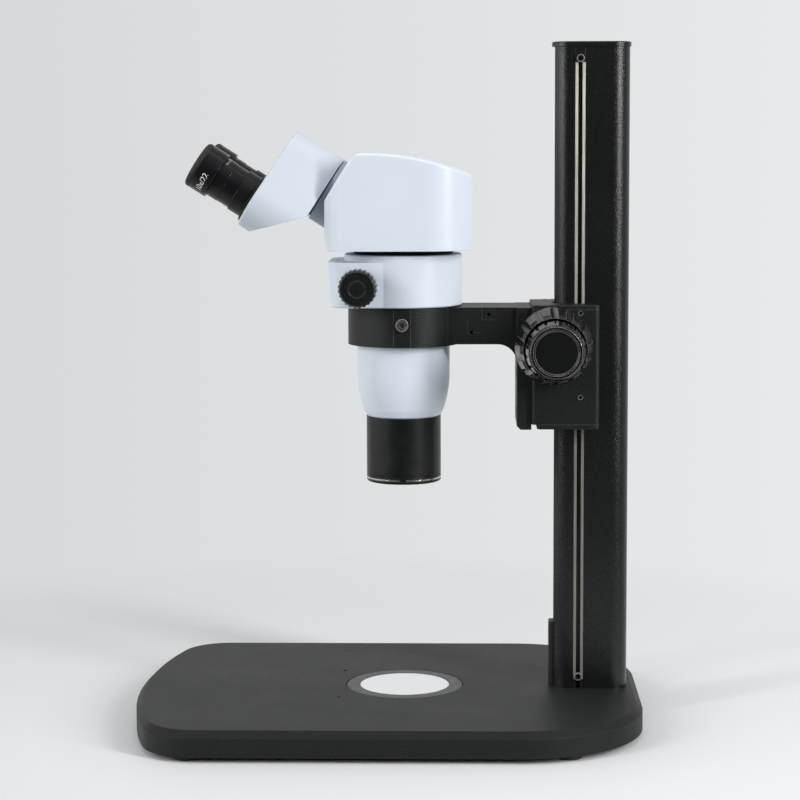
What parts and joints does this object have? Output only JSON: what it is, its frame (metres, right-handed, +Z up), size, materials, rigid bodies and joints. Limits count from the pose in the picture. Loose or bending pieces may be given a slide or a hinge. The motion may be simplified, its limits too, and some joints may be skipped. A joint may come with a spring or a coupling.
{
  "type": "stereo microscope",
  "caption": "Stereo zoom microscope on a track stand: tilted binocular head, zoom body in a swivel ring, rack and pinion focus on a grooved column, flat base with a stage plate.",
  "frame": {"origin": "centre of the footprint, on the surface that the feet stand on", "axes": "+Z up; -Y to the user and the eyepieces, +Y to the column; +X to the user's right"},
  "size_m": [0.308, 0.4146, 0.556],
  "materials": {
    "base_paint": "fine matt black powder paint",
    "rubber": "matt",
    "stage_ring_grey": "satin dark grey",
    "stage_white": "matt white",
    "column_black": "black anodised, fine texture",
    "stainless": "drawn",
    "black_screws": "black oxide",
    "black_plastic": "satin",
    "steel": "machined",
    "textured_black": "fine wrinkle paint",
    "guide_plastic": "machined",
    "bronze": "machined",
    "knob_black": "satin moulded",
    "white_paint": "satin bluish white paint",
    "grey_paint": "satin grey paint",
    "black_anodised": "satin",
    "bright_ring": "turned bright",
    "optical_glass": "coated"
  },
  "bodies": {
    "stand": {"base_plate": "base_paint", "base_feet": "rubber", "stage_ring": "stage_ring_grey", "column_profile": "column_black", "column_rails": "stainless", "rail_screws": "black_screws", "column_cap": "black_plastic", "column_bolts": "black_screws", "travel_stop": "black_plastic", "gear_rack": "steel"},
    "stage_plate": {"stage_plate": "stage_white"},
    "carriage": {"focus_housing": "textured_black", "top_cover": "textured_black", "bottom_cover": "textured_black", "guide_shoes": "guide_plastic", "guide_screws": "black_screws", "pinion_bushes": "bronze", "focus_arm": "textured_black", "arm_screws": "black_screws"},
    "clamp_screw": {"clamp_screw": "black_screws"},
    "coarse_drive": {"pinion_shaft": "steel", "right_coarse_knob": "knob_black", "left_coarse_knob": "knob_black"},
    "fine_drive": {"fine_shaft": "steel", "right_fine_knob": "knob_black", "left_fine_knob": "knob_black"},
    "pod": {"zoom_housing": "white_paint", "zoom_barrel": "white_paint", "objective_cell": "black_anodised", "objective_ring": "bright_ring", "objective_lens": "optical_glass", "dovetail_ring": "black_anodised", "guide_rods": "stainless", "head_housing": "white_paint", "head_base": "black_anodised", "tube_nose": "grey_paint", "head_prisms": "optical_glass"},
    "zoom_drive": {"zoom_shaft": "steel", "zoom_pinions": "steel", "right_zoom_knob": "knob_black", "left_zoom_knob": "knob_black"},
    "upper_carrier": {"upper_carrier": "black_anodised", "upper_lenses": "optical_glass"},
    "lower_carrier": {"lower_carrier": "black_anodised", "lower_lenses": "optical_glass"},
    "right_tube": {"right_tube_housing": "white_paint", "right_tube_prism": "optical_glass", "right_eyetube": "black_anodised", "right_eyepiece": "black_anodised"},
    "right_dioptre": {"right_dioptre_ring": "black_anodised", "right_eye_lens": "optical_glass", "right_eyecup": "rubber"},
    "left_tube": {"left_tube_housing": "white_paint", "left_tube_prism": "optical_glass", "left_eyetube": "black_anodised", "left_eyepiece": "black_anodised"},
    "left_dioptre": {"left_dioptre_ring": "black_anodised", "left_eye_lens": "optical_glass", "left_eyecup": "rubber"}
  },
  "joints": [
    {"name": "stage_plate_lift", "type": "slide", "parent": "stand", "child": "stage_plate", "axis": [0, 0, 1], "range_m": [0, 0.03]},
    {"name": "focus_slide", "type": "slide", "parent": "stand", "child": "carriage", "axis": [0, 0, 1], "range_m": [-0.155, 0.19]},
    {"name": "coarse_turn", "type": "hinge", "parent": "carriage", "child": "coarse_drive", "pos_m": [0, 0.135, 0.3125], "axis": [1, 0, 0], "range_deg": [-1680, 1370]},
    {"name": "fine_turn", "type": "hinge", "parent": "carriage", "child": "fine_drive", "pos_m": [0, 0.135, 0.3125], "axis": [1, 0, 0], "range_deg": [-8400, 6850]},
    {"name": "clamp_turn", "type": "hinge", "parent": "carriage", "child": "clamp_screw", "pos_m": [0.0449, 0.0134, 0.3294], "axis": [1, 0, 0], "range_deg": [-180, 180]},
    {"name": "pod_swivel", "type": "hinge", "parent": "carriage", "child": "pod", "pos_m": [0, 0.0134, 0.33], "axis": [0, 0, 1], "range_deg": [-120, 120]},
    {"name": "upper_carrier_slide", "type": "slide", "parent": "pod", "child": "upper_carrier", "axis": [0, 0, 1], "range_m": [0, 0.0157]},
    {"name": "zoom_turn", "type": "hinge", "parent": "pod", "child": "zoom_drive", "pos_m": [0, -0.0214, 0.36], "axis": [1, 0, 0], "range_deg": [0, 120]},
    {"name": "lower_carrier_slide", "type": "slide", "parent": "pod", "child": "lower_carrier", "axis": [0, 0, 1], "range_m": [0, 0.0105]},
    {"name": "right_tube_swing", "type": "hinge", "parent": "pod", "child": "right_tube", "pos_m": [0.012, -0.0467, 0.4402], "axis": [0, -0.8434, 0.5373], "range_deg": [-7, 10]},
    {"name": "right_dioptre_turn", "type": "hinge", "parent": "right_tube", "child": "right_dioptre", "pos_m": [0.031, -0.14083, 0.4525], "axis": [0, -0.8434, 0.5373], "range_deg": [-120, 120]},
    {"name": "left_tube_swing", "type": "hinge", "parent": "pod", "child": "left_tube", "pos_m": [-0.012, -0.0467, 0.4402], "axis": [0, -0.8434, 0.5373], "range_deg": [-10, 7]},
    {"name": "left_dioptre_turn", "type": "hinge", "parent": "left_tube", "child": "left_dioptre", "pos_m": [-0.031, -0.14083, 0.4525], "axis": [0, -0.8434, 0.5373], "range_deg": [-120, 120]}
  ],
  "couplings": [
    {"joint": "coarse_turn", "follows": "focus_slide", "rad_per_m": -153.85},
    {"joint": "fine_turn", "follows": "focus_slide", "rad_per_m": -769.23},
    {"joint": "zoom_turn", "follows": "upper_carrier_slide", "rad_per_m": 133.33},
    {"joint": "lower_carrier_slide", "follows": "upper_carrier_slide", "ratio": 0.66667},
    {"joint": "left_tube_swing", "follows": "right_tube_swing", "ratio": -1}
  ]
}
